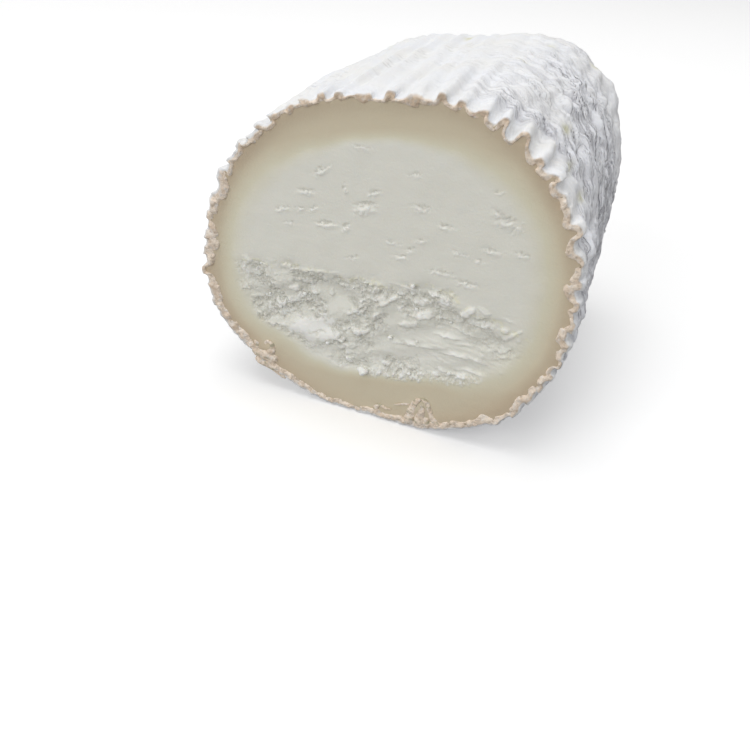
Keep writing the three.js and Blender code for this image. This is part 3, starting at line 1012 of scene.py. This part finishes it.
def joined(parts):
    """One set of points and triangles from several closed skins."""
    points, triangles = [], []
    first = 0
    for part, counts in parts:
        triangles.extend(tuple(first + index for index in triangle) for triangle in closed_skin(counts))
        points.append(part)
        first += len(part)
    return np.concatenate(points), triangles


def build_folds(material):
    points, triangles = joined([fold_points(fold) for fold in FOLDS])
    fields = {name: np.zeros(len(points)) for name in RIND_FIELDS}
    fields["cut"] += 1
    fields["tan"] += np.clip(0.25 + 0.9 * noise_at(points, 1.6, seed=42, octaves=2), 0, 1)
    # On the folds the same field is streaky noise that makes dark olive streaks
    fields["crevice_shade_and_streaks"] += smooth_step(0.15, 0.45, noise_at(points, (2.5, 1, 0.9), seed=43, octaves=2))
    return make_piece("rind_folds", points, triangles, fields, material)


def build_crumbs(material):
    draw = random.Random(7)
    places = [LARGE_CRUMB]
    while len(places) <= SMALL_CRUMBS:
        x = draw.uniform(*CRUMB_X)
        z = draw.uniform(*CRUMB_Z)
        places.append((x, z, draw.uniform(*CRUMB_REACH)))
    x, z, reach = np.array(places).T
    depth, fields = face_relief(x, z)
    on_tear = fields["rough"] > 0.25
    on_tear[0] = True
    parts = []
    for index in np.flatnonzero(on_tear):
        place = np.array([x[index], depth[index] - 0.5 * reach[index], z[index]])
        parts.append(crumb_points(place, reach[index], CRUMB_SEEDS + int(index)))
    points, triangles = joined(parts)
    none = np.zeros(len(points))
    fields = {"ripe": none, "raised": none + 1, "rough": none + 0.5, "fleck": none, "pit_shade": none}
    return make_piece("crumbs", points, triangles, fields, material)


def build_paste(material):
    steps = round(MEAN_RADIUS / FACE_SPACING)
    shares = np.arange(1, steps + 1) / steps
    counts = [max(6, round(TAU * MEAN_RADIUS * share / FACE_SPACING)) for share in shares]
    angle = np.concatenate([ring_of(columns) for columns in counts]) / FLUTES * TAU
    share = np.repeat(shares, counts)
    plain = round_curve(SECTION, angle) - round_curve(LIP_AROUND, angle)
    radius = share * (plain + (paste_reach(angle) - plain) * share**EDGE_BLEND)
    x = np.append(0, radius * np.cos(angle))
    z = np.append(0, radius * np.sin(angle))
    depth, fields = face_relief(x, z)
    face = np.stack([x, depth, z], axis=-1)

    inset = RIND_THICKNESS + WALL_INSET
    wall, _, wall_counts = skin_of(inner_rings(inset, WALL_FADE, WALL_FRONT)[::-1], 0)
    points = np.concatenate([face, wall, [[0.0, LENGTH - DOME - inset, 0.0]]])
    rest = len(points) - len(face)
    fields = {name: np.concatenate([values, np.zeros(rest)]) for name, values in fields.items()}
    return make_piece("log_paste", points, closed_skin(counts + wall_counts), fields, material)


def node(tree, kind, inputs=None, **settings):
    """A shader node with its settings, and its inputs as values or as other nodes' outputs."""
    made = tree.nodes.new(kind)
    for name, value in settings.items():
        setattr(made, name, value)
    for key, value in (inputs or {}).items():
        if isinstance(value, bpy.types.NodeSocket):
            tree.links.new(value, made.inputs[key])
        else:
            made.inputs[key].default_value = value
    return made


def field_of(tree, name):
    return node(tree, "ShaderNodeAttribute", attribute_name=name).outputs["Fac"]


def mottle(tree, per_metre, detail=3.0, low=0.35, high=0.65):
    """Noise from 0 to 1 that varies over the log."""
    place = node(tree, "ShaderNodeTexCoord").outputs["Object"]
    grain = node(tree, "ShaderNodeTexNoise", {"Vector": place, "Scale": per_metre, "Detail": detail})
    levels = {"Value": grain.outputs["Fac"], "From Min": low, "From Max": high}
    return node(tree, "ShaderNodeMapRange", levels, clamp=True).outputs["Result"]


def times(tree, first, second):
    """Two factors multiplied."""
    product = node(tree, "ShaderNodeMath", {0: first, 1: second}, operation="MULTIPLY", use_clamp=True)
    return product.outputs[0]


def mixed(tree, factor, first, second):
    """One colour or socket blended into another by a factor."""
    made = tree.nodes.new("ShaderNodeMix")
    made.data_type = "RGBA"
    colours = [socket for socket in made.inputs if socket.type == "RGBA"]
    for socket, value in ((made.inputs[0], factor), (colours[0], first), (colours[1], second)):
        if isinstance(value, bpy.types.NodeSocket):
            tree.links.new(value, socket)
        elif isinstance(value, tuple):
            socket.default_value = (*value, 1)
        else:
            socket.default_value = value
    return next(socket for socket in made.outputs if socket.type == "RGBA")


def new_material(name, roughness, scatter, radius, sheen):
    material = bpy.data.materials.new(name)
    material.use_nodes = True
    shader = material.node_tree.nodes["Principled BSDF"]
    shader.inputs["Roughness"].default_value = roughness
    shader.inputs["Subsurface Weight"].default_value = scatter
    shader.inputs["Subsurface Radius"].default_value = radius
    shader.inputs["Subsurface Scale"].default_value = MILLIMETRE
    shader.inputs["Sheen Weight"].default_value = sheen
    shader.inputs["Specular IOR Level"].default_value = 0.35
    return material, material.node_tree, shader


def bump(tree, height, depth, below=None):
    """A normal from a height between 0 and 1 and its depth in mm, over another bump if one is given."""
    made = node(tree, "ShaderNodeBump", {"Height": height, "Distance": depth * MILLIMETRE})
    if below is not None:
        tree.links.new(below, made.inputs["Normal"])
    return made.outputs["Normal"]


def hairlines(tree, round_log, along_log, width):
    """Creases from 0 to 1 that run with the brushed ones, by their counts a metre each way."""
    place = node(tree, "ShaderNodeTexCoord").outputs["Object"]
    slant = Matrix.Rotation(math.atan(CREASE_SLANT), 3, "X") @ Matrix.Rotation(CREASE_TURN, 3, "Y")
    turned = node(tree, "ShaderNodeMapping", {"Vector": place, "Rotation": slant.to_euler()})
    counts = {"Vector": turned.outputs["Vector"], "Scale": (round_log, along_log, round_log)}
    stretched = node(tree, "ShaderNodeMapping", counts).outputs["Vector"]
    grain = {"Vector": stretched, "Scale": 1.0, "Detail": 3.0, "Roughness": 0.6, "Distortion": 0.9}
    waviness = node(tree, "ShaderNodeTexNoise", grain).outputs["Fac"]
    away = node(tree, "ShaderNodeMath", {0: waviness, 1: 0.5}, operation="SUBTRACT").outputs[0]
    away = node(tree, "ShaderNodeMath", {0: away}, operation="ABSOLUTE").outputs[0]
    levels = {"Value": away, "From Min": width, "From Max": 0.0}
    return node(tree, "ShaderNodeMapRange", levels, clamp=True).outputs["Result"]


def stops(tree, factor, colours):
    """Colours in even steps along a factor."""
    ramp = node(tree, "ShaderNodeValToRGB", {"Fac": factor})
    elements = ramp.color_ramp.elements
    while len(elements) < len(colours):
        elements.new(0.5)
    for index, colour in enumerate(colours):
        elements[index].position = index / (len(colours) - 1)
        elements[index].color = (*colour, 1)
    return ramp.outputs["Color"]


def rind_material():
    material, tree, shader = new_material("bloomy_rind", 0.78, 0.1, (0.8, 0.7, 0.6), 0.08)
    brushed = field_of(tree, "brushed")
    cut = field_of(tree, "cut")
    strand = times(tree, brushed, hairlines(tree, 42, 300, 0.05))
    hair = times(tree, field_of(tree, "hair"), hairlines(tree, 120, 850, 0.055))
    colour = mixed(tree, mottle(tree, 90), BLOOM, BLOOM_WARM)
    # Painted shade: a cool tint on the brushed sides, which lie in shade
    colour = mixed(tree, brushed, colour, BLOOM_SHADE_TINT)
    # Painted shade in the crease valleys and nicks
    colour = mixed(tree, times(tree, field_of(tree, "crevice_shade_and_streaks"), 0.75), colour, CREVICE_SHADE)
    # Painted shade along the fine creases, which the bumps below also groove
    colour = mixed(tree, times(tree, strand, 0.45), colour, CREVICE_SHADE)
    colour = mixed(tree, times(tree, hair, 0.4), colour, CREVICE_SHADE)
    colour = mixed(tree, times(tree, field_of(tree, "stain"), 0.8), colour, OLIVE)
    lip = mixed(tree, field_of(tree, "tan"), LIP_CREAM, LIP_TAN)
    lip = mixed(tree, times(tree, mottle(tree, 1100, low=0.5, high=0.66), 0.7), lip, LIP_PIT)
    lip = mixed(tree, times(tree, mottle(tree, 800, low=0.52, high=0.64), 0.4), lip, BLOOM_WARM)
    # Dark olive streaks, on the folds only
    lip = mixed(tree, times(tree, field_of(tree, "crevice_shade_and_streaks"), 0.8), lip, OLIVE_DARK)
    colour = mixed(tree, cut, colour, lip)
    tree.links.new(colour, shader.inputs["Base Color"])
    normal = bump(tree, mottle(tree, 1500, detail=4.0, low=0.2, high=0.8), 0.1)
    normal = bump(tree, times(tree, cut, mottle(tree, 900, low=0.2, high=0.8)), 0.35, normal)
    normal = bump(tree, times(tree, brushed, mottle(tree, 400, low=0.2, high=0.8)), 0.12, normal)
    normal = bump(tree, strand, -0.35, normal)
    normal = bump(tree, hair, -0.16, normal)
    tree.links.new(normal, shader.inputs["Normal"])
    return material


def paste_material():
    material, tree, shader = new_material("goat_paste", 0.42, 0.15, (0.8, 0.65, 0.5), 0.0)
    rough = field_of(tree, "rough")
    colour = stops(tree, field_of(tree, "ripe"), (CORE, CREAM_PALE, CREAM, CREAM_TAN))
    # Whiter paste on raised places, partly painted highlight
    colour = mixed(tree, times(tree, field_of(tree, "raised"), 0.95), colour, CORE_WHITE_AND_HIGHLIGHT)
    colour = mixed(tree, times(tree, field_of(tree, "fleck"), 0.5), colour, FLECK)
    # Painted shade in the dents' slits and the cracks
    colour = mixed(tree, times(tree, field_of(tree, "pit_shade"), 0.8), colour, PIT_SHADE)
    specks = times(tree, rough, mottle(tree, 1700, low=0.5, high=0.62))
    colour = mixed(tree, times(tree, specks, 0.5), colour, CORE_WHITE_AND_HIGHLIGHT)
    # Painted shade in small random gaps of the rough parts
    gaps = times(tree, rough, mottle(tree, 1400, low=0.54, high=0.68))
    colour = mixed(tree, times(tree, gaps, 0.25), colour, PIT_SHADE)
    tree.links.new(colour, shader.inputs["Base Color"])
    normal = bump(tree, mottle(tree, 1800, detail=4.0, low=0.2, high=0.8), 0.05)
    normal = bump(tree, times(tree, rough, mottle(tree, 1200, low=0.3, high=0.7)), 0.2, normal)
    tree.links.new(normal, shader.inputs["Normal"])
    return material


def add_camera():
    """The camera, at the photograph's viewing angle."""
    turn = Matrix((CAMERA_RIGHT, CAMERA_UP, CAMERA_BACK)).transposed().to_4x4()
    place = Vector(CAMERA_PLACE) + Vector(ORIGIN)
    camera = bpy.data.objects.new("camera", bpy.data.cameras.new("camera"))
    camera.matrix_world = Matrix.Translation(place * MILLIMETRE) @ turn
    camera.data.sensor_width = CAMERA_SENSOR
    camera.data.lens = CAMERA_LENS
    camera.data.clip_start = CAMERA_NEAREST
    bpy.context.scene.collection.objects.link(camera)
    bpy.context.scene.camera = camera


def add_floor():
    """A plain pale floor that doesn't light the log."""
    mesh = bpy.data.meshes.new("floor")
    turns = ((-1, -1), (1, -1), (1, 1), (-1, 1))
    corners = [(across * FLOOR_REACH, along * FLOOR_REACH, 0) for across, along in turns]
    mesh.from_pydata(corners, [], [(0, 1, 2, 3)])
    material = bpy.data.materials.new("floor")
    material.use_nodes = True
    shader = material.node_tree.nodes["Principled BSDF"]
    shader.inputs["Base Color"].default_value = (*FLOOR_COLOUR, 1)
    shader.inputs["Roughness"].default_value = 0.9
    shader.inputs["Specular IOR Level"].default_value = 0.1
    shader.inputs["Emission Color"].default_value = (1, 1, 1, 1)
    shader.inputs["Emission Strength"].default_value = FLOOR_GLOW
    mesh.materials.append(material)
    floor = bpy.data.objects.new("floor", mesh)
    floor.visible_diffuse = False
    bpy.context.scene.collection.objects.link(floor)


def add_light(name, place, power):
    """A soft square light that faces the log."""
    data = bpy.data.lights.new(name, "AREA")
    data.size = LIGHT_SIZE
    data.energy = power
    light = bpy.data.objects.new(name, data)
    light.location = place
    aim = Vector((0, 0, AXIS_HEIGHT * MILLIMETRE)) - light.location
    light.rotation_euler = aim.to_track_quat("-Z", "Y").to_euler()
    bpy.context.scene.collection.objects.link(light)


def add_world():
    """A sky that is brighter above than below."""
    world = bpy.data.worlds.new("studio")
    world.use_nodes = True
    tree = world.node_tree
    way = node(tree, "ShaderNodeTexCoord").outputs["Generated"]
    height = node(tree, "ShaderNodeSeparateXYZ", {"Vector": way}).outputs["Z"]
    levels = {"Value": height, "From Min": -SKY_BAND, "From Max": SKY_BAND}
    levels |= {"To Min": SKY_BELOW, "To Max": SKY_ABOVE}
    strength = node(tree, "ShaderNodeMapRange", levels, clamp=True).outputs["Result"]
    background = tree.nodes["Background"]
    background.inputs["Color"].default_value = (1, 1, 1, 1)
    tree.links.new(strength, background.inputs["Strength"])
    bpy.context.scene.world = world


add_camera()
add_floor()
add_world()
for light in LIGHTS:
    add_light(*light)

view = bpy.context.scene.view_settings
view.view_transform = "Standard"
view.look = "None"

rind = rind_material()
paste = paste_material()
build_rind(rind)
build_folds(rind)
build_paste(paste)
build_crumbs(paste)
